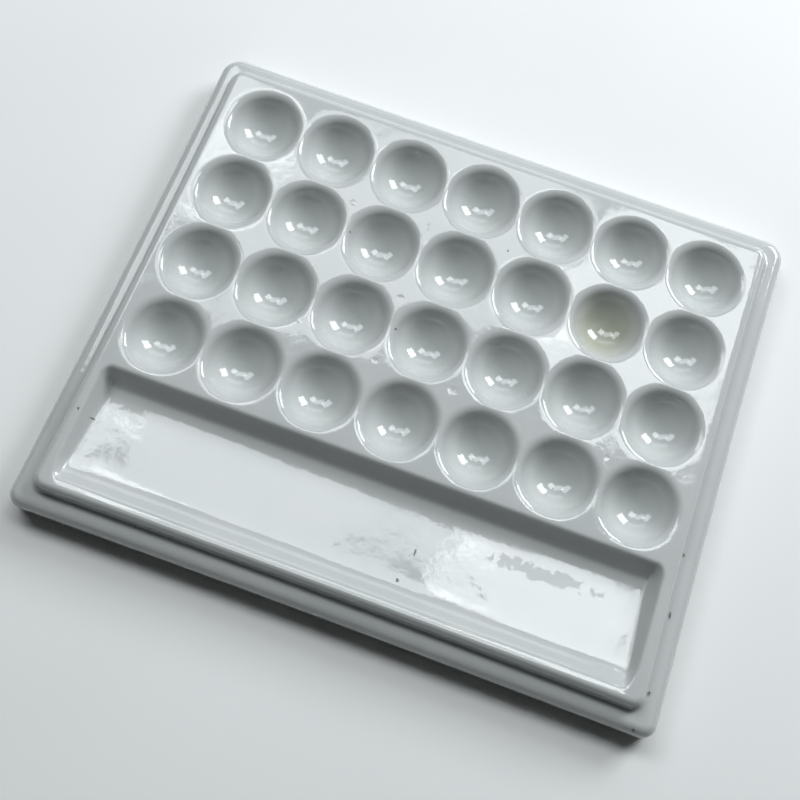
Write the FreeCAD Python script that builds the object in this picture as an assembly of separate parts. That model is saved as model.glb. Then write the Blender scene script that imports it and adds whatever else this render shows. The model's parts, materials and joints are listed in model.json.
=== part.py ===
"""Porcelain mixing palette: 28 round wells in front of which lies one long sloping trough.

One fired porcelain casting with a hollow underside, and the layer of clear glaze fused on it.
X runs along the rows of wells, +Y points from the trough towards the back row, +Z is up.
The origin is the middle of the resting plane. All sizes are millimetres.
"""
import FreeCAD, Part
import math
import os

Vector = FreeCAD.Vector

# overall form: the sides bow in a little between the corners
WIDTH = 254.2
DEPTH = 209.2
HEIGHT = 20.0
END_BOW = 0.8
FRONT_BOW = 0.7
BACK_BOW = 0.2
BACK_CORNER_RADIUS = 8.5
FRONT_CORNER_RADIUS = 6.0

# stepped rim: a low flange all round, then a groove and the raised deck
FLANGE_TOP = 14.0
FLANGE_ROUNDING = 4.5
DECK_INSET = 8.5
DECK_CORNER_RADIUS = 5.0
DECK_ROUNDING = 3.0
GROOVE_RADIUS = 2.6

# grid of wells
COLUMNS = 7
ROWS = 4
PITCH_X = 32.2
PITCH_Y = 33.2
BACK_MARGIN = 30.8
WELL_DEPTH = 11.0
LIP_OUTER_RADIUS = 18.0
LIP_ROUNDING = 5.2

# trough: a tall back wall, a floor that rises towards the front, and a low front wall
TROUGH_HALF_LENGTH = 112.6
TROUGH_BACK_GAP = 18.6
TROUGH_WIDTH = 46.6
TROUGH_BACK_DEPTH = 10.0
TROUGH_FRONT_DEPTH = 3.4
TROUGH_END_DRAFT = 0.38
TROUGH_BACK_DRAFT = 0.60
TROUGH_FRONT_DRAFT = 1.20
TROUGH_CORNER_ROUNDING = 3.0
TROUGH_EDGE_ROUNDING = 2.2

# casting and glaze
WALL = 4.0
GLAZE = 0.35
FOOT_WIDTH = 6.0
FOOT_ROUNDING = 1.0
GLAZE_STOP = 2.0
LOWER_POCKET_TOP = 8.2
UPPER_POCKET_TOP = 12.0
POCKET_CORNER_RADIUS = 4.0

CLEARANCE = 5.0  # how far a cutter stands clear of the surface it opens
FLAT = 1e-4  # edges closer to a level than this lie in it

BACK = DEPTH / 2
FIRST_ROW = BACK - BACK_MARGIN
LAST_ROW = FIRST_ROW - (ROWS - 1) * PITCH_Y
TROUGH_BACK = LAST_ROW - TROUGH_BACK_GAP
TROUGH_FRONT = TROUGH_BACK - TROUGH_WIDTH


def well_centres():
    """The centres of the wells, row by row from the back."""
    first_column = -(COLUMNS - 1) / 2 * PITCH_X
    return [
        (first_column + column * PITCH_X, FIRST_ROW - row * PITCH_Y)
        for row in range(ROWS)
        for column in range(COLUMNS)
    ]


def edges_at(shape, level):
    """The edges that lie in one horizontal plane."""
    return [
        edge
        for edge in shape.Edges
        if abs(edge.BoundBox.ZMin - level) < FLAT and abs(edge.BoundBox.ZMax - level) < FLAT
    ]


def outline_block(inset, back_radius, front_radius, bottom, top):
    """An upright block of the palette's bowed outline, set in from it, with rounded corners."""
    end = WIDTH / 2 - inset
    side = DEPTH / 2 - inset
    back_left = Vector(-end, side, bottom)
    back_right = Vector(end, side, bottom)
    front_left = Vector(-end, -side, bottom)
    front_right = Vector(end, -side, bottom)
    outline = Part.Wire(
        [
            Part.Arc(back_left, Vector(0, side - BACK_BOW, bottom), back_right).toShape(),
            Part.Arc(back_right, Vector(end - END_BOW, 0, bottom), front_right).toShape(),
            Part.Arc(front_right, Vector(0, FRONT_BOW - side, bottom), front_left).toShape(),
            Part.Arc(front_left, Vector(END_BOW - end, 0, bottom), back_left).toShape(),
        ]
    )
    block = Part.Face(outline).extrude(Vector(0, 0, top - bottom))
    for radius, facing in ((back_radius, 1), (front_radius, -1)):
        corners = [
            edge
            for edge in block.Edges
            if edge.BoundBox.ZLength > FLAT and facing * edge.CenterOfMass.y > 0
        ]
        block = block.makeFillet(radius, corners)
    return block


def lies_within(edge, inset):
    """Whether an edge stays inside the palette's outline by more than inset."""
    box = edge.BoundBox
    across = max(-box.XMin, box.XMax)
    along = max(-box.YMin, box.YMax)
    return across < WIDTH / 2 - inset and along < DEPTH / 2 - inset


def rim_form(skin):
    """The flange and the raised deck, every surface set in by the thickness skin."""
    flange_top = FLANGE_TOP - skin
    deck_top = HEIGHT - skin
    flange = outline_block(
        skin, BACK_CORNER_RADIUS - skin, FRONT_CORNER_RADIUS - skin, 0, flange_top
    )
    flange = flange.makeFillet(FLANGE_ROUNDING - skin, edges_at(flange, flange_top))
    deck_radius = DECK_CORNER_RADIUS - skin
    deck = outline_block(DECK_INSET + skin, deck_radius, deck_radius, 0, deck_top)
    deck = deck.makeFillet(DECK_ROUNDING - skin, edges_at(deck, deck_top))
    form = flange.fuse(deck).removeSplitter()
    middle_of_flange = (FLANGE_ROUNDING + DECK_INSET) / 2
    groove = [edge for edge in edges_at(form, flange_top) if lies_within(edge, middle_of_flange)]
    return form.makeFillet(GROOVE_RADIUS + skin, groove)


def trough_cutter(skin):
    """The space of the trough, every surface pushed out by skin, open above the deck."""

    def pushed(slope):
        return skin * math.hypot(1, slope)

    rise = (TROUGH_BACK_DEPTH - TROUGH_FRONT_DEPTH) / TROUGH_WIDTH

    def half_length(level):
        return TROUGH_HALF_LENGTH - TROUGH_END_DRAFT * (HEIGHT - level) + pushed(TROUGH_END_DRAFT)

    def back(level):
        return TROUGH_BACK - TROUGH_BACK_DRAFT * (HEIGHT - level) + pushed(TROUGH_BACK_DRAFT)

    def front(level):
        return TROUGH_FRONT + TROUGH_FRONT_DRAFT * (HEIGHT - level) - pushed(TROUGH_FRONT_DRAFT)

    # the floor is the plane level = floor_datum - rise * y
    floor_datum = HEIGHT - TROUGH_BACK_DEPTH + rise * TROUGH_BACK - pushed(rise)
    back_datum = back(0)
    back_floor = (floor_datum - rise * back_datum) / (1 + rise * TROUGH_BACK_DRAFT)
    front_datum = front(0)
    front_floor = (floor_datum - rise * front_datum) / (1 - rise * TROUGH_FRONT_DRAFT)

    top = HEIGHT + CLEARANCE

    def corner(side, y_at, level):
        return Vector(side * half_length(level), y_at(level), level)

    def outline(back_level, front_level):
        """The four corners in turn, as one closed wire."""
        corners = [
            corner(-1, back, back_level),
            corner(1, back, back_level),
            corner(1, front, front_level),
            corner(-1, front, front_level),
        ]
        return Part.makePolygon([*corners, corners[0]])

    space = Part.makeLoft([outline(back_floor, front_floor), outline(top, top)], True, True)
    inner = [edge for edge in space.Edges if edge.BoundBox.ZMin < top - FLAT]
    return space.makeFillet(TROUGH_CORNER_ROUNDING + skin, inner)


def bowl_sphere():
    """The radius of a well's bowl and the height of its centre above the deck.

    The bowl and the convex lip are tangent, so their centres lie apart by both radii.
    """
    reach = LIP_OUTER_RADIUS**2 + LIP_ROUNDING**2 - (WELL_DEPTH + LIP_ROUNDING) ** 2
    above = reach / (2 * WELL_DEPTH)
    return above + WELL_DEPTH, above


def well_cutter(skin):
    """The space of one well on the Z axis: a spherical bowl and a convex lip that meets the deck."""
    bowl_radius, above = bowl_sphere()
    bowl_radius += skin
    lip_radius = LIP_ROUNDING - skin
    centre = Vector(0, 0, HEIGHT + above)
    lip_centre = Vector(LIP_OUTER_RADIUS, 0, HEIGHT - LIP_ROUNDING)
    towards_lip = (lip_centre - centre).normalize()
    tangent = centre + towards_lip * bowl_radius
    bottom = centre - Vector(0, 0, bowl_radius)
    bowl_middle = centre + (towards_lip - Vector(0, 0, 1)).normalize() * bowl_radius
    lip_middle = lip_centre + (Vector(0, 0, 1) - towards_lip).normalize() * lip_radius
    lip_end = lip_centre + Vector(0, 0, lip_radius)
    top = HEIGHT + CLEARANCE
    outer_top = Vector(LIP_OUTER_RADIUS, 0, top)
    axis_top = Vector(0, 0, top)
    profile = Part.Wire(
        [
            Part.Arc(bottom, bowl_middle, tangent).toShape(),
            Part.Arc(tangent, lip_middle, lip_end).toShape(),
            Part.makeLine(lip_end, outer_top),
            Part.makeLine(outer_top, axis_top),
            Part.makeLine(axis_top, bottom),
        ]
    )
    return Part.Face(profile).revolve(Vector(0, 0, 0), Vector(0, 0, 1), 360)


def glazed_form(skin):
    """The palette seen from outside, without its hollow, every surface set in by skin."""
    form = rim_form(skin).cut(trough_cutter(skin))
    trough_edge = [
        edge
        for edge in edges_at(form, HEIGHT - skin)
        if abs(edge.CenterOfMass.x) < TROUGH_HALF_LENGTH + 1
        and edge.BoundBox.YMax < TROUGH_BACK + 1
        and edge.BoundBox.YMin > TROUGH_FRONT - 1
    ]
    form = form.makeFillet(TROUGH_EDGE_ROUNDING - skin, trough_edge)
    one_well = well_cutter(skin)
    wells = [one_well.translated(Vector(x, y, 0)) for x, y in well_centres()]
    return form.cut(wells)


def hollow():
    """The space under the palette: two stepped pockets, less the wells and the trough that hang in."""
    under = -CLEARANCE
    pocket_radius = POCKET_CORNER_RADIUS
    lower = outline_block(FOOT_WIDTH, pocket_radius, pocket_radius, under, LOWER_POCKET_TOP)
    upper_inset = DECK_INSET + GLAZE + WALL
    upper = outline_block(upper_inset, pocket_radius, pocket_radius, under, UPPER_POCKET_TOP)
    space = lower.fuse(upper).removeSplitter()
    bowl_radius, above = bowl_sphere()
    bumps = [
        Part.makeSphere(bowl_radius + GLAZE + WALL, Vector(x, y, HEIGHT + above))
        for x, y in well_centres()
    ]
    return space.cut([*bumps, trough_cutter(GLAZE + WALL)])


def foot_rounded(body):
    """The body with the outer edge of its foot rounded."""
    return body.makeFillet(FOOT_ROUNDING, edges_at(body, 0))


def export(shape, name):
    """Write one named piece, after making sure that it is one closed valid solid."""
    solids = shape.Solids
    if len(solids) != 1 or not shape.isValid() or not solids[0].isClosed():
        raise ValueError(f"{name} is not one closed solid")
    solids[0].exportStep(f"parts/{name}.step")
    box = solids[0].BoundBox
    print(name, "volume", round(solids[0].Volume), "mm3, box", box)


def main():
    os.makedirs("parts", exist_ok=True)
    clay_form = glazed_form(GLAZE)
    outer_form = glazed_form(0)
    above_foot = Part.makeBox(
        2 * WIDTH, 2 * DEPTH, 2 * HEIGHT, Vector(-WIDTH, -DEPTH, GLAZE_STOP)
    )
    glaze = outer_form.cut(clay_form).common(above_foot)
    body = foot_rounded(clay_form).cut(hollow())
    export(body, "porcelain_body")
    export(glaze, "glaze_coat")


main()
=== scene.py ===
"""Looks of the porcelain mixing palette: the glazed surface, its materials, the studio and the camera.

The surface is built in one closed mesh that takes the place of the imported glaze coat. Its plan
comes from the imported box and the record's openings, and its sections from the sizes below.
Everything is in metres: +X runs along the rows of wells, +Y towards the back row, +Z up.
"""
import json
import math

import bpy
import numpy as np
from mathutils import Euler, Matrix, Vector


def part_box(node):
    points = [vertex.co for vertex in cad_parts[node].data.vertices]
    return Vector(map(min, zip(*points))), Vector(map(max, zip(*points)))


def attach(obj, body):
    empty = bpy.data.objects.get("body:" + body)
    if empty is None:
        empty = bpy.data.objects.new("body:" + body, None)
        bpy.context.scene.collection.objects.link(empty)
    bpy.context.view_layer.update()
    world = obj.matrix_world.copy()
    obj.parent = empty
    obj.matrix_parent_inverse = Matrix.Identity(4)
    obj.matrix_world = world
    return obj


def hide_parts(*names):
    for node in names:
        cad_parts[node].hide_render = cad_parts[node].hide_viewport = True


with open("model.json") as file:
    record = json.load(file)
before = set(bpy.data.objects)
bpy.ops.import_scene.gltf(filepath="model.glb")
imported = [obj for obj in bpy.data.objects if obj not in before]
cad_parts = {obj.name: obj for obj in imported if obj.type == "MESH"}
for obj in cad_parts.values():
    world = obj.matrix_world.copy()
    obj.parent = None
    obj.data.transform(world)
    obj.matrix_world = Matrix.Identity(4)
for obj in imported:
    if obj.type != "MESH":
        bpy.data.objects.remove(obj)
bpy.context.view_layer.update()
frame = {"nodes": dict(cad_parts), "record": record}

MM = 0.001

# ---------------------------------------------------------------- sizes read from the frame

glaze_low, glaze_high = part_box("glaze_coat")
DECK = glaze_high[2]
GLAZE_FOOT = glaze_low[2]
END = glaze_high[0] + 0.1 * MM  # the corner points of the bowed outline lie a little further out
SIDE = glaze_high[1] + 0.1 * MM

openings = {opening["name"]: opening["box_m"] for opening in frame["record"]["physics"]["openings"]}
COLUMNS = 7
ROWS = 4


def opening_centre(name):
    """The middle of one stated opening, seen from above."""
    low, high = openings[name]
    return (low[0] + high[0]) / 2, (low[1] + high[1]) / 2


column_x = [opening_centre(f"well_1_{column + 1}")[0] for column in range(COLUMNS)]
row_y = [opening_centre(f"well_{row + 1}_1")[1] for row in range(ROWS)]
well_centres = np.array([(x, y) for y in row_y for x in column_x])

# ---------------------------------------------------------------- sizes of the surface

END_BOW = 0.8 * MM
FRONT_BOW = 0.7 * MM
BACK_BOW = 0.2 * MM
BACK_CORNER = 8.5 * MM
FRONT_CORNER = 6.0 * MM
FLANGE_DROP = 6.0 * MM
FLANGE_ROUNDING = 4.5 * MM
DECK_INSET = 8.5 * MM
DECK_CORNER = 5.0 * MM
DECK_ROUNDING = 3.0 * MM
GROOVE_RADIUS = 2.6 * MM

WELL_DEPTH = 11.0 * MM
LIP_REACH = 17.4 * MM
LIP_ROUNDING = 4.4 * MM
LIP_MELT = 0.45 * MM  # how softly two lips run into one another

TROUGH_HALF_LENGTH = 112.6 * MM
TROUGH_BACK = row_y[-1] - 18.6 * MM
TROUGH_FRONT = TROUGH_BACK - 46.6 * MM
TROUGH_BACK_DEPTH = 10.0 * MM
TROUGH_FRONT_DEPTH = 3.4 * MM
TROUGH_END_DRAFT = 0.38
TROUGH_BACK_DRAFT = 0.60
TROUGH_FRONT_DRAFT = 1.20
TROUGH_FILLET = 1.1 * MM  # how softly walls and floor run together
TROUGH_EDGE_MELT = 0.75 * MM
TROUGH_CORNER = 9.0 * MM  # the drop over which the walls turn the corners in a curve
TROUGH_LEVEL_DEPTH = 8.55 * MM
TROUGH_LEVEL_MELT = 0.16 * MM

GLAZE = 0.3 * MM

# the flat field inside the rim, which the wells and the trough open from
FIELD_END = 114.6 * MM
FIELD_BACK = 92.3 * MM
FIELD_FRONT = -92.6 * MM
SEAM = (row_y[-1] - LIP_REACH + TROUGH_BACK + 1.5 * MM) / 2

SIDE_STEPS = 16
BOWL_RINGS = 9
LIP_RINGS = 7
FLAT_RINGS = 2


# ---------------------------------------------------------------- heights

def undulation(x, y):
    """The slow waves of a fired and glazed surface."""
    wave = 0.040 * np.sin(61 * x + 1.3) * np.cos(83 * y + 0.4)
    wave += 0.026 * np.sin(147 * x - 95 * y + 2.1)
    wave += 0.016 * np.cos(233 * x + 171 * y)
    return wave * MM


def bowl_sphere():
    """The radius of a bowl, and the height of its centre above the deck."""
    reach = LIP_REACH**2 + LIP_ROUNDING**2 - (WELL_DEPTH + LIP_ROUNDING) ** 2
    above = reach / (2 * WELL_DEPTH)
    return above + WELL_DEPTH, above


BOWL_RADIUS, BOWL_ABOVE = bowl_sphere()
LIP_SLOPE = math.atan2(LIP_REACH, LIP_ROUNDING + BOWL_ABOVE)
BOWL_EDGE = BOWL_RADIUS * math.sin(LIP_SLOPE)


def well_drop(distance):
    """How far below the deck the well's surface lies, at a distance from its middle."""
    in_bowl = np.sqrt(np.maximum(BOWL_RADIUS**2 - distance**2, 0)) - BOWL_ABOVE
    to_lip_centre = np.clip(LIP_REACH - distance, 0, LIP_ROUNDING)
    on_lip = LIP_ROUNDING - np.sqrt(LIP_ROUNDING**2 - to_lip_centre**2)
    return np.where(distance < BOWL_EDGE, in_bowl, on_lip)


def melted_sum(drops, melt):
    """Several drops as one: the deepest wins, and equal ones run together softly."""
    rest = np.exp(np.minimum(np.array(drops) / melt, 80)) - 1
    return melt * np.log1p(rest.sum(axis=0))


rng = np.random.default_rng(28)
well_turn = rng.uniform(0, 2 * math.pi, len(well_centres))
well_squash = rng.uniform(0.002, 0.010, len(well_centres))
well_swell = rng.uniform(-0.006, 0.006, len(well_centres))


def wells_drop(x, y):
    """The drop of all wells together; each is a little out of round, as hand-finished ones are."""
    drops = []
    for (centre_x, centre_y), turn, squash, swell in zip(
        well_centres, well_turn, well_squash, well_swell
    ):
        across = x - centre_x
        along = y - centre_y
        angle = np.arctan2(along, across)
        uneven = 1 + swell + squash * np.cos(2 * angle + turn) + 0.4 * squash * np.cos(3 * angle - turn)
        drops.append(well_drop(np.hypot(across, along) * uneven))
    return melted_sum(drops, LIP_MELT)


def trough_drop(x, y):
    """The drop of the trough: its floor, sloping but for the hindmost part, inside drafted walls."""
    rise = (TROUGH_BACK_DEPTH - TROUGH_FRONT_DEPTH) / (TROUGH_BACK - TROUGH_FRONT)
    sloping = TROUGH_BACK_DEPTH - rise * (TROUGH_BACK - y)
    level = np.full_like(sloping, TROUGH_LEVEL_DEPTH)
    floor = -melted_sum_of_signed([-sloping, -level], TROUGH_LEVEL_MELT)
    end = (TROUGH_HALF_LENGTH - np.abs(x)) / TROUGH_END_DRAFT
    back = (TROUGH_BACK - y) / TROUGH_BACK_DRAFT
    front = (y - TROUGH_FRONT) / TROUGH_FRONT_DRAFT
    lowest = np.minimum(np.minimum(end, back), front)
    short = [np.maximum(TROUGH_CORNER - drop, 0) for drop in (end, back, front)]
    rounded = TROUGH_CORNER - np.sqrt(short[0] ** 2 + short[1] ** 2 + short[2] ** 2)
    walls = np.where(lowest < TROUGH_CORNER, rounded, lowest)
    depth = -melted_sum_of_signed([-floor, -walls], TROUGH_FILLET)
    return TROUGH_EDGE_MELT * np.log1p(np.exp(np.minimum(depth / TROUGH_EDGE_MELT, 80)))


def melted_sum_of_signed(levels, melt):
    """The softened highest of several levels."""
    levels = np.array(levels)
    top = levels.max(axis=0)
    return top + melt * np.log(np.exp((levels - top) / melt).sum(axis=0))


def surface_height(x, y):
    """The glazed surface over the flat field."""
    drop = melted_sum([wells_drop(x, y), trough_drop(x, y)], LIP_MELT)
    return DECK - drop + undulation(x, y)


# ---------------------------------------------------------------- the mesh of the surface

class Surface:
    """Points and faces; a field point that is asked for twice is the same point."""

    def __init__(self):
        self.points = []
        self.faces = []
        self.known = {}

    def free(self, x, y, z):
        self.points.append((x, y, z))
        return len(self.points) - 1

    def shared(self, x, y):
        key = (round(x * 1e7), round(y * 1e7))
        if key not in self.known:
            self.known[key] = self.free(x, y, None)
        return self.known[key]

    def band(self, outer, inner, closed=True):
        """Quads between two rows of as many points; outer runs anticlockwise seen from above."""
        count = len(outer)
        for step in range(count if closed else count - 1):
            following = (step + 1) % count
            self.faces.append((outer[step], outer[following], inner[following], inner[step]))

    def zip_rows(self, outer, inner, places_outer, places_inner):
        """Triangles between two rows whose points don't pair up, in the order of their places."""
        at_outer = 0
        at_inner = 0
        while at_outer < len(outer) - 1 or at_inner < len(inner) - 1:
            next_outer = places_outer[at_outer + 1] if at_outer < len(outer) - 1 else math.inf
            next_inner = places_inner[at_inner + 1] if at_inner < len(inner) - 1 else math.inf
            if next_outer <= next_inner:
                self.faces.append((outer[at_outer], outer[at_outer + 1], inner[at_inner]))
                at_outer += 1
            else:
                self.faces.append((outer[at_outer], inner[at_inner + 1], inner[at_inner]))
                at_inner += 1


def cell_border(left, right, front, back):
    """The points round one well's cell, anticlockwise from its front left corner."""
    steps = [step / SIDE_STEPS for step in range(SIDE_STEPS)]
    border = [(left + (right - left) * step, front) for step in steps]
    border += [(right, front + (back - front) * step) for step in steps]
    border += [(right - (right - left) * step, back) for step in steps]
    border += [(left, back - (back - front) * step) for step in steps]
    return border


def add_well(surface, centre, left, right, front, back):
    """One well: rings from its cell's border over the lip and down the bowl."""
    centre_x, centre_y = centre
    border = cell_border(left, right, front, back)
    rays = []
    for x, y in border:
        reach = math.hypot(x - centre_x, y - centre_y)
        rays.append(((x - centre_x) / reach, (y - centre_y) / reach, reach))
    rings = [[surface.shared(x, y) for x, y in border]]
    lip_ends = [min(LIP_REACH + 0.2 * MM, BOWL_EDGE + 0.8 * (ray[2] - BOWL_EDGE)) for ray in rays]
    for ring in range(1, FLAT_RINGS):
        share = ring / FLAT_RINGS
        radii = [ray[2] + (lip_end - ray[2]) * share for ray, lip_end in zip(rays, lip_ends)]
        rings.append(ring_points(surface, centre, rays, radii))
    for ring in range(LIP_RINGS):
        share = ring / LIP_RINGS
        radii = []
        for lip_end in lip_ends:
            start = math.asin(max(LIP_REACH - lip_end, -0.2 * MM) / LIP_ROUNDING)
            turn = start + (LIP_SLOPE - start) * share
            radii.append(LIP_REACH - LIP_ROUNDING * math.sin(turn))
        rings.append(ring_points(surface, centre, rays, radii))
    for ring in range(BOWL_RINGS):
        turn = LIP_SLOPE * (1 - ring / BOWL_RINGS)
        rings.append(ring_points(surface, centre, rays, [BOWL_RADIUS * math.sin(turn)] * len(rays)))
    for outer, inner in zip(rings, rings[1:]):
        surface.band(outer, inner)
    bottom = surface.shared(centre_x, centre_y)
    last = rings[-1]
    for step, point in enumerate(last):
        surface.faces.append((point, last[(step + 1) % len(last)], bottom))


def ring_points(surface, centre, rays, radii):
    return [
        surface.shared(centre[0] + ray[0] * radius, centre[1] + ray[1] * radius)
        for ray, radius in zip(rays, radii)
    ]


def spaced(start, end, spacing):
    """Evenly spaced places from start up to, but not counting, end."""
    count = max(1, round(abs(end - start) / spacing))
    return [start + (end - start) * step / count for step in range(count)]


def add_trough(surface):
    """The trough: a grid that is fine over its walls and their roundings, and coarse between."""
    fine = 0.55 * MM
    wall_zone = TROUGH_HALF_LENGTH - 8.5 * MM
    across = spaced(-FIELD_END, -wall_zone, fine)
    across += spaced(-wall_zone, wall_zone, 2.6 * MM)
    across += spaced(wall_zone, FIELD_END, fine) + [FIELD_END]
    along = spaced(SEAM - 0.25 * MM, TROUGH_BACK - 10 * MM, fine)
    along += spaced(TROUGH_BACK - 10 * MM, TROUGH_FRONT + 8 * MM, 1.9 * MM)
    along += spaced(TROUGH_FRONT + 8 * MM, FIELD_FRONT, fine) + [FIELD_FRONT]
    rows = [[surface.shared(x, y) for x in across] for y in along]
    for back_row, front_row in zip(rows, rows[1:]):
        surface.band(front_row, back_row, closed=False)
    return across, rows[0]


def outline(inset, back_radius, front_radius):
    """The palette's bowed outline, set in, as a loop that runs anticlockwise from the right."""
    end = END - inset
    side = SIDE - inset
    loop = []
    corners = (
        (1, 1, back_radius, 0),
        (-1, 1, back_radius, 90),
        (-1, -1, front_radius, 180),
        (1, -1, front_radius, 270),
    )
    arc_steps = 12
    for right, up, radius, start in corners:
        middle_x = right * (end - radius)
        middle_y = up * (side - radius)
        for step in range(arc_steps + 1):
            angle = math.radians(start + 90 * step / arc_steps)
            loop.append((middle_x + radius * math.cos(angle), middle_y + radius * math.sin(angle)))
        reach_x = end - (front_radius + back_radius) / 2
        reach_y = side - (front_radius + back_radius) / 2
        side_steps = 40
        last_x, last_y = loop[-1]
        next_radius = front_radius if start in (90, 180) else back_radius
        goal = {
            0: (-(end - next_radius), side),
            90: (-end, -(side - next_radius)),
            180: (end - next_radius, -side),
            270: (end, side - next_radius),
        }[start]
        for step in range(1, side_steps):
            share = step / side_steps
            loop.append((last_x + (goal[0] - last_x) * share, last_y + (goal[1] - last_y) * share))
    bowed = []
    for x, y in loop:
        pull_x = END_BOW * (1 - (y / side) ** 2) * (x / end)
        bow = BACK_BOW if y > 0 else FRONT_BOW
        pull_y = bow * (1 - (x / end) ** 2) * (y / side)
        bowed.append((x - pull_x, y - pull_y))
    return bowed


def rim_profile():
    """The rim's section from the deck's edge outwards and down: (inset, height, deck family)."""
    profile = []
    for step in range(7):
        angle = math.radians(90 * step / 6)
        inset = DECK_INSET + DECK_ROUNDING * (1 - math.sin(angle))
        profile.append((inset, DECK - DECK_ROUNDING * (1 - math.cos(angle)), True))
    flange_top = DECK - FLANGE_DROP
    for step in range(7):
        angle = math.radians(90 * step / 6)
        inset = DECK_INSET - GROOVE_RADIUS * (1 - math.cos(angle))
        profile.append((inset, flange_top + GROOVE_RADIUS * (1 - math.sin(angle)), True))
    for step in range(9):
        angle = math.radians(90 * step / 8)
        inset = FLANGE_ROUNDING * (1 - math.sin(angle))
        profile.append((inset, flange_top - FLANGE_ROUNDING * (1 - math.cos(angle)), False))
    for share in (0.35, 0.7, 1.0):
        level = flange_top - FLANGE_ROUNDING
        profile.append((0.0, level + (GLAZE_FOOT - level) * share, False))
    return profile


def add_rim(surface):
    """The rim: one loop of points for each step of its section."""
    loops = []
    for inset, height, of_deck in rim_profile():
        if of_deck:
            radius = DECK_CORNER + DECK_INSET - inset
            radii = (radius, radius)
        else:
            radii = (BACK_CORNER - inset, FRONT_CORNER - inset)
        loops.append(
            [surface.free(x, y, height + undulation(x, y)) for x, y in outline(inset, *radii)]
        )
    for inner, outer in zip(loops, loops[1:]):
        surface.band(outer, inner)
    return loops[0], loops[-1]


def turn_about(points, indices):
    """Indices in the order of their angle about the origin, closed, with those angles."""
    angles = {index: math.atan2(points[index][1], points[index][0]) for index in indices}
    ordered = sorted(indices, key=lambda index: angles[index])
    places = [angles[index] for index in ordered]
    return [*ordered, ordered[0]], [*places, places[0] + 2 * math.pi]


def build_surface():
    surface = Surface()
    column_edges = [-FIELD_END]
    column_edges += [(a + b) / 2 for a, b in zip(column_x, column_x[1:])]
    column_edges.append(FIELD_END)
    row_edges = [FIELD_BACK]
    row_edges += [(a + b) / 2 for a, b in zip(row_y, row_y[1:])]
    row_edges.append(SEAM)
    for row, y in enumerate(row_y):
        for column, x in enumerate(column_x):
            add_well(
                surface,
                (x, y),
                column_edges[column],
                column_edges[column + 1],
                row_edges[row + 1],
                row_edges[row],
            )
    across, trough_row = add_trough(surface)
    well_row = []
    for left, right in zip(column_edges, column_edges[1:]):
        well_row += [left + (right - left) * step / SIDE_STEPS for step in range(SIDE_STEPS)]
    well_row.append(FIELD_END)
    well_row_points = [surface.shared(x, SEAM) for x in well_row]
    surface.zip_rows(trough_row, well_row_points, across, well_row)
    border = [
        index
        for index, (x, y, z) in enumerate(surface.points)
        if abs(abs(x) - FIELD_END) < 1e-7 or abs(y - FIELD_BACK) < 1e-7 or abs(y - FIELD_FRONT) < 1e-7
    ]
    field = np.array([(x, y) for x, y, z in surface.points])
    heights = surface_height(field[:, 0], field[:, 1])
    surface.points = [
        (x, y, float(height)) for (x, y, z), height in zip(surface.points, heights)
    ]
    deck_loop, foot_loop = add_rim(surface)
    outer, outer_places = turn_about(surface.points, deck_loop)
    inner, inner_places = turn_about(surface.points, border)
    surface.zip_rows(outer, inner, outer_places, inner_places)
    return surface, foot_loop


def mesh_object(name, points, faces, material):
    mesh = bpy.data.meshes.new(name)
    mesh.from_pydata(points, [], faces)
    mesh.validate()
    mesh.polygons.foreach_set("use_smooth", [True] * len(mesh.polygons))
    mesh.materials.append(material)
    mesh.update()
    piece = bpy.data.objects.new(name, mesh)
    bpy.context.scene.collection.objects.link(piece)
    return piece


def closed_skin(surface, foot_loop):
    """The surface's outside, and an inside one glaze thickness under it, joined at the foot."""
    outside = bpy.data.meshes.new("outside")
    outside.from_pydata(surface.points, [], surface.faces)
    outside.update()
    normals = np.empty(len(surface.points) * 3)
    outside.vertices.foreach_get("normal", normals)
    bpy.data.meshes.remove(outside)
    points = np.array(surface.points)
    inside = points - normals.reshape(-1, 3) * GLAZE
    count = len(points)
    faces = list(surface.faces)
    faces += [tuple(index + count for index in reversed(face)) for face in surface.faces]
    for step, index in enumerate(foot_loop):
        following = foot_loop[(step + 1) % len(foot_loop)]
        faces.append((following, index, index + count, following + count))
    return np.vstack([points, inside]).tolist(), faces


# ---------------------------------------------------------------- materials

PALE_GLAZE = (0.628, 0.640, 0.634, 1)
POOLED_GLAZE = (0.566, 0.592, 0.583, 1)
STAIN = (0.45, 0.455, 0.365, 1)
SPECK = (0.10, 0.10, 0.09, 1)

# marks in the glaze: (x, y, reach along x, reach along y) in millimetres
SPECKS = (
    (20.6, -82.5, 0.6, 0.7),
    (23.2, -70.4, 0.4, 1.3),
    (-76.7, -96.8, 0.5, 0.4),
    (-114.0, -64.0, 0.6, 0.5),
    (-109.5, -64.8, 0.8, 0.3),
    (119.0, -37.0, 0.5, 0.9),
    (120.0, -60.0, 0.5, 1.4),
    (120.2, -89.3, 0.7, 0.9),
    (118.6, -103.0, 0.6, 0.5),
    (-46.0, 41.5, 0.4, 0.4),
    (-14.0, 8.5, 0.5, 0.4),
    (17.0, 56.0, 0.4, 0.5),
)

# shallow dents where the glaze sank on the islands between wells: (x, y, reach) in millimetres
DENTS = (
    (-49.5, 53.8, 1.3),
    (-17.0, 54.3, 1.6),
    (-16.8, 21.0, 1.6),
    (-16.8, -6.8, 1.4),
    (15.7, -7.7, 1.7),
    (79.8, -12.2, 1.2),
    (-54.8, 31.0, 1.0),
    (-50.1, -1.7, 1.2),
)


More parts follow.
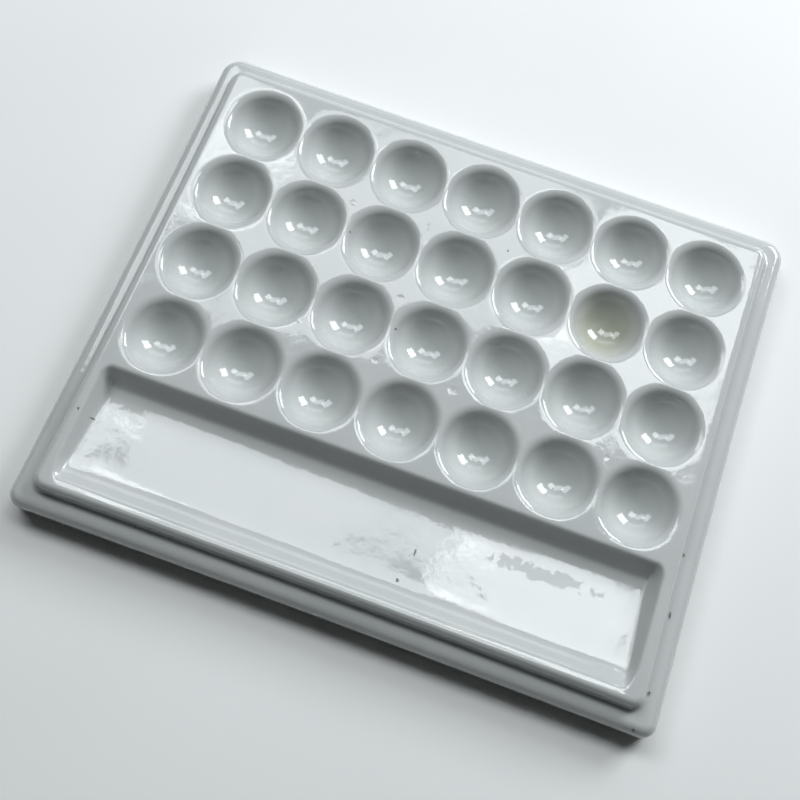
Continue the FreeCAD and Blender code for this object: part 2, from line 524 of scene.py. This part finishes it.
class Wiring:
    """Short ways to add shader nodes to one material."""

    def __init__(self, name):
        self.material = bpy.data.materials.new(name)
        self.material.use_nodes = True
        self.nodes = self.material.node_tree.nodes
        self.links = self.material.node_tree.links
        self.shader = self.nodes["Principled BSDF"]
        self.place = self.nodes.new("ShaderNodeTexCoord").outputs["Object"]

    def feed(self, socket, value):
        if isinstance(value, bpy.types.NodeSocket):
            self.links.new(value, socket)
        else:
            socket.default_value = value

    def noise(self, scale, detail, place=None):
        node = self.nodes.new("ShaderNodeTexNoise")
        node.inputs["Scale"].default_value = scale
        node.inputs["Detail"].default_value = detail
        self.links.new(self.place if place is None else place, node.inputs["Vector"])
        return node.outputs["Fac"]

    def spread(self, value, low, high, to_low=0.0, to_high=1.0):
        """The value's range from low to high stretched smoothly over the new range."""
        node = self.nodes.new("ShaderNodeMapRange")
        node.interpolation_type = "SMOOTHSTEP"
        self.feed(node.inputs["Value"], value)
        node.inputs["From Min"].default_value = low
        node.inputs["From Max"].default_value = high
        node.inputs["To Min"].default_value = to_low
        node.inputs["To Max"].default_value = to_high
        return node.outputs["Result"]

    def math(self, kind, first, second=0.0):
        node = self.nodes.new("ShaderNodeMath")
        node.operation = kind
        self.feed(node.inputs[0], first)
        self.feed(node.inputs[1], second)
        return node.outputs["Value"]

    def mix(self, factor, first, second):
        node = self.nodes.new("ShaderNodeMix")
        node.data_type = "RGBA"
        self.feed(node.inputs["Factor"], factor)
        self.feed(node.inputs[6], first)
        self.feed(node.inputs[7], second)
        return node.outputs[2]

    def oval_distance(self, x, y, reach_x, reach_y):
        """How far off a vertical oval column each place lies: 1 on the oval itself."""
        node = self.nodes.new("ShaderNodeMapping")
        node.vector_type = "TEXTURE"
        node.inputs["Location"].default_value = (x, y, 0)
        node.inputs["Scale"].default_value = (reach_x, reach_y, 1)
        self.links.new(self.place, node.inputs["Vector"])
        length = self.nodes.new("ShaderNodeVectorMath")
        length.operation = "LENGTH"
        self.links.new(node.outputs["Vector"], length.inputs[0])
        return length.outputs["Value"]

    def bump(self, height, distance, strength, before=None):
        node = self.nodes.new("ShaderNodeBump")
        node.inputs["Distance"].default_value = distance
        node.inputs["Strength"].default_value = strength
        self.links.new(height, node.inputs["Height"])
        if before is not None:
            self.links.new(before, node.inputs["Normal"])
        return node.outputs["Normal"]


def glaze_material():
    """Cool white glossy glaze: pooled tones, one stained well, pinholes, a dull dried streak."""
    wiring = Wiring("clear_glaze")
    tone = wiring.spread(wiring.noise(34, 3), 0.35, 0.70)
    pooled = wiring.nodes.new("ShaderNodeAttribute")
    pooled.attribute_name = "pooled"
    tone = wiring.math("MAXIMUM", wiring.math("MULTIPLY", tone, 0.45), pooled.outputs["Fac"])
    colour = wiring.mix(tone, PALE_GLAZE, POOLED_GLAZE)

    stained_x, stained_y = column_x[5], row_y[1]
    patchy = wiring.spread(wiring.noise(110, 3), 0.25, 0.75, 0.65, 1.0)
    in_well = wiring.spread(
        wiring.oval_distance(stained_x, stained_y, BOWL_EDGE, BOWL_EDGE), 0.55, 1.10, 1.0, 0.0
    )
    colour = wiring.mix(wiring.math("MULTIPLY", in_well, patchy), colour, STAIN)

    marks = None
    for x, y, reach_x, reach_y in SPECKS:
        off = wiring.oval_distance(x * MM, y * MM, reach_x * MM, reach_y * MM)
        off = wiring.math("ADD", off, wiring.spread(wiring.noise(1400, 2), 0.2, 0.8, -0.5, 0.5))
        mark = wiring.spread(off, 0.6, 1.1, 1.0, 0.0)
        marks = mark if marks is None else wiring.math("MAXIMUM", marks, mark)
    colour = wiring.mix(wiring.math("MULTIPLY", marks, 0.8), colour, SPECK)
    wiring.feed(wiring.shader.inputs["Base Color"], colour)

    fine = wiring.spread(wiring.noise(420, 4), 0.35, 0.75, 0.0, 0.05)
    worn = wiring.spread(wiring.noise(26, 2), 0.45, 0.75, 0.0, 0.05)
    roughness = wiring.math("ADD", wiring.math("ADD", fine, worn), 0.045)
    roughness = wiring.math("ADD", roughness, wiring.math("MULTIPLY", marks, 0.3))
    wiring.feed(wiring.shader.inputs["Roughness"], roughness)

    dried = wiring.spread(
        wiring.math(
            "ADD",
            wiring.oval_distance(69 * MM, -61.6 * MM, 20 * MM, 2.6 * MM),
            wiring.spread(wiring.noise(300, 6), 0.3, 0.7, -0.5, 0.5),
        ),
        0.70,
        1.15,
        1.0,
        0.0,
    )
    roughness = wiring.math("ADD", roughness, wiring.math("MULTIPLY", dried, 0.34))
    wiring.feed(wiring.shader.inputs["Roughness"], roughness)

    ripple = wiring.bump(wiring.noise(95, 2), 0.00035, 0.35)
    peel = wiring.bump(wiring.noise(620, 2), 0.00006, 0.30, ripple)
    pitted = wiring.bump(wiring.math("SUBTRACT", 1.0, marks), 0.0004, 0.6, peel)
    dents = None
    for x, y, reach in DENTS:
        off = wiring.oval_distance(x * MM, y * MM, reach * MM, reach * MM)
        off = wiring.math("ADD", off, wiring.spread(wiring.noise(420, 1), 0.3, 0.7, -0.25, 0.25))
        dent = wiring.spread(off, 0.1, 1.3, 1.0, 0.0)
        dents = dent if dents is None else wiring.math("MAXIMUM", dents, dent)
    dented = wiring.bump(wiring.math("SUBTRACT", 1.0, dents), 0.00012, 1.0, pitted)
    wiring.feed(wiring.shader.inputs["Normal"], dented)
    wiring.shader.inputs["IOR"].default_value = 1.56
    return wiring.material


def bisque_material():
    """Unglazed fired porcelain: matt, slightly warm, finely grained."""
    wiring = Wiring("fired_porcelain")
    tone = wiring.spread(wiring.noise(60, 5), 0.30, 0.70)
    colour = wiring.mix(tone, (0.78, 0.77, 0.74, 1), (0.70, 0.69, 0.65, 1))
    wiring.feed(wiring.shader.inputs["Base Color"], colour)
    roughness = wiring.spread(wiring.noise(500, 4), 0.3, 0.7, 0.62, 0.85)
    wiring.feed(wiring.shader.inputs["Roughness"], roughness)
    wiring.feed(wiring.shader.inputs["Normal"], wiring.bump(wiring.noise(1800, 3), 0.0002, 0.4))
    return wiring.material


def floor_material():
    """A plain pale sheet."""
    wiring = Wiring("pale_sheet")
    tone = wiring.spread(wiring.noise(8, 2), 0.3, 0.7)
    colour = wiring.mix(tone, (0.97, 0.97, 0.965, 1), (0.95, 0.95, 0.945, 1))
    wiring.feed(wiring.shader.inputs["Base Color"], colour)
    wiring.shader.inputs["Roughness"].default_value = 0.9
    return wiring.material


# ---------------------------------------------------------------- studio and camera

def add_camera():
    camera = bpy.data.cameras.new("camera")
    camera.sensor_width = 36
    camera.lens = 45.62
    camera.shift_x = -0.0633
    camera.shift_y = -0.0417
    holder = bpy.data.objects.new("camera", camera)
    holder.location = (0.0310, -0.1241, 0.3942)
    holder.rotation_euler = Euler([math.radians(angle) for angle in (18.358, -3.590, 19.469)])
    bpy.context.scene.collection.objects.link(holder)
    bpy.context.scene.camera = holder


def add_pooling(piece):
    """Marks on each point how much glaze has pooled there: most in the bottoms and the corners."""
    count = len(piece.data.vertices)
    places = np.empty(count * 3)
    piece.data.vertices.foreach_get("co", places)
    places = places.reshape(-1, 3)
    drop = wells_drop(places[:, 0], places[:, 1])
    amount = np.clip(drop / WELL_DEPTH, 0, 1) ** 3
    pooled = piece.data.attributes.new("pooled", "FLOAT", "POINT")
    pooled.data.foreach_set("value", amount)


def main():
    surface, foot_loop = build_surface()
    points, faces = closed_skin(surface, foot_loop)
    glaze = glaze_material()
    piece = mesh_object("glazed_surface", points, faces, glaze)
    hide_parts("glaze_coat")
    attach(piece, "root")
    add_pooling(piece)
    frame["nodes"]["porcelain_body"].material_slots[0].material = bisque_material()
    print("triangles", sum(len(face) - 2 for face in faces))


STUDIO_REACH = 1.4  # how far the softboxes stand from the palette
DAYLIGHT = (0.93, 0.98, 1.0)


def add_pane(name, azimuth, elevation, radiance):
    """A softbox that fills a span of azimuth and of elevation, in degrees, as the palette sees it.

    Azimuth 0 is behind the back row and 90 to the right.
    """
    middle_azimuth = math.radians(sum(azimuth) / 2)
    middle_elevation = math.radians(sum(elevation) / 2)
    half_wide = math.radians(azimuth[1] - azimuth[0]) / 2 * math.cos(middle_elevation)
    half_high = math.radians(elevation[1] - elevation[0]) / 2
    light = bpy.data.lights.new(name, "AREA")
    light.shape = "RECTANGLE"
    light.size = 2 * STUDIO_REACH * math.tan(half_wide)
    light.size_y = 2 * STUDIO_REACH * math.tan(half_high)
    light.energy = radiance * math.pi * light.size * light.size_y
    light.color = DAYLIGHT
    holder = bpy.data.objects.new(name, light)
    towards = Vector(
        (
            math.cos(middle_elevation) * math.sin(middle_azimuth),
            math.cos(middle_elevation) * math.cos(middle_azimuth),
            math.sin(middle_elevation),
        )
    )
    holder.location = towards * STUDIO_REACH
    holder.rotation_euler = towards.to_track_quat("Z", "Y").to_euler()
    bpy.context.scene.collection.objects.link(holder)


def add_studio():
    """A pale sheet under the palette, and tall softboxes behind it, like a bay of windows."""
    scene = bpy.context.scene
    scene.view_settings.view_transform = "Standard"
    world = bpy.data.worlds.new("studio")
    world.use_nodes = True
    background = world.node_tree.nodes["Background"]
    background.inputs["Color"].default_value = (0.93, 0.98, 1.0, 1)
    background.inputs["Strength"].default_value = 0.015
    scene.world = world
    add_pane("upper_window", (-50, 8), (55, 70), 4.6)
    add_pane("upper_right_window", (8, 38), (54, 71), 7.4)
    add_pane("left_window", (-72, -34), (42, 59), 5.2)
    add_pane("right_window", (22, 50), (22, 42), 12.5)
    add_pane("low_window", (-30, 16), (26, 38), 1.6)
    size = 3.0
    floor = mesh_object(
        "floor",
        [(-size, -size, 0), (size, -size, 0), (size, size, 0), (-size, size, 0)],
        [(0, 1, 2, 3)],
        floor_material(),
    )


main()
add_studio()
add_camera()
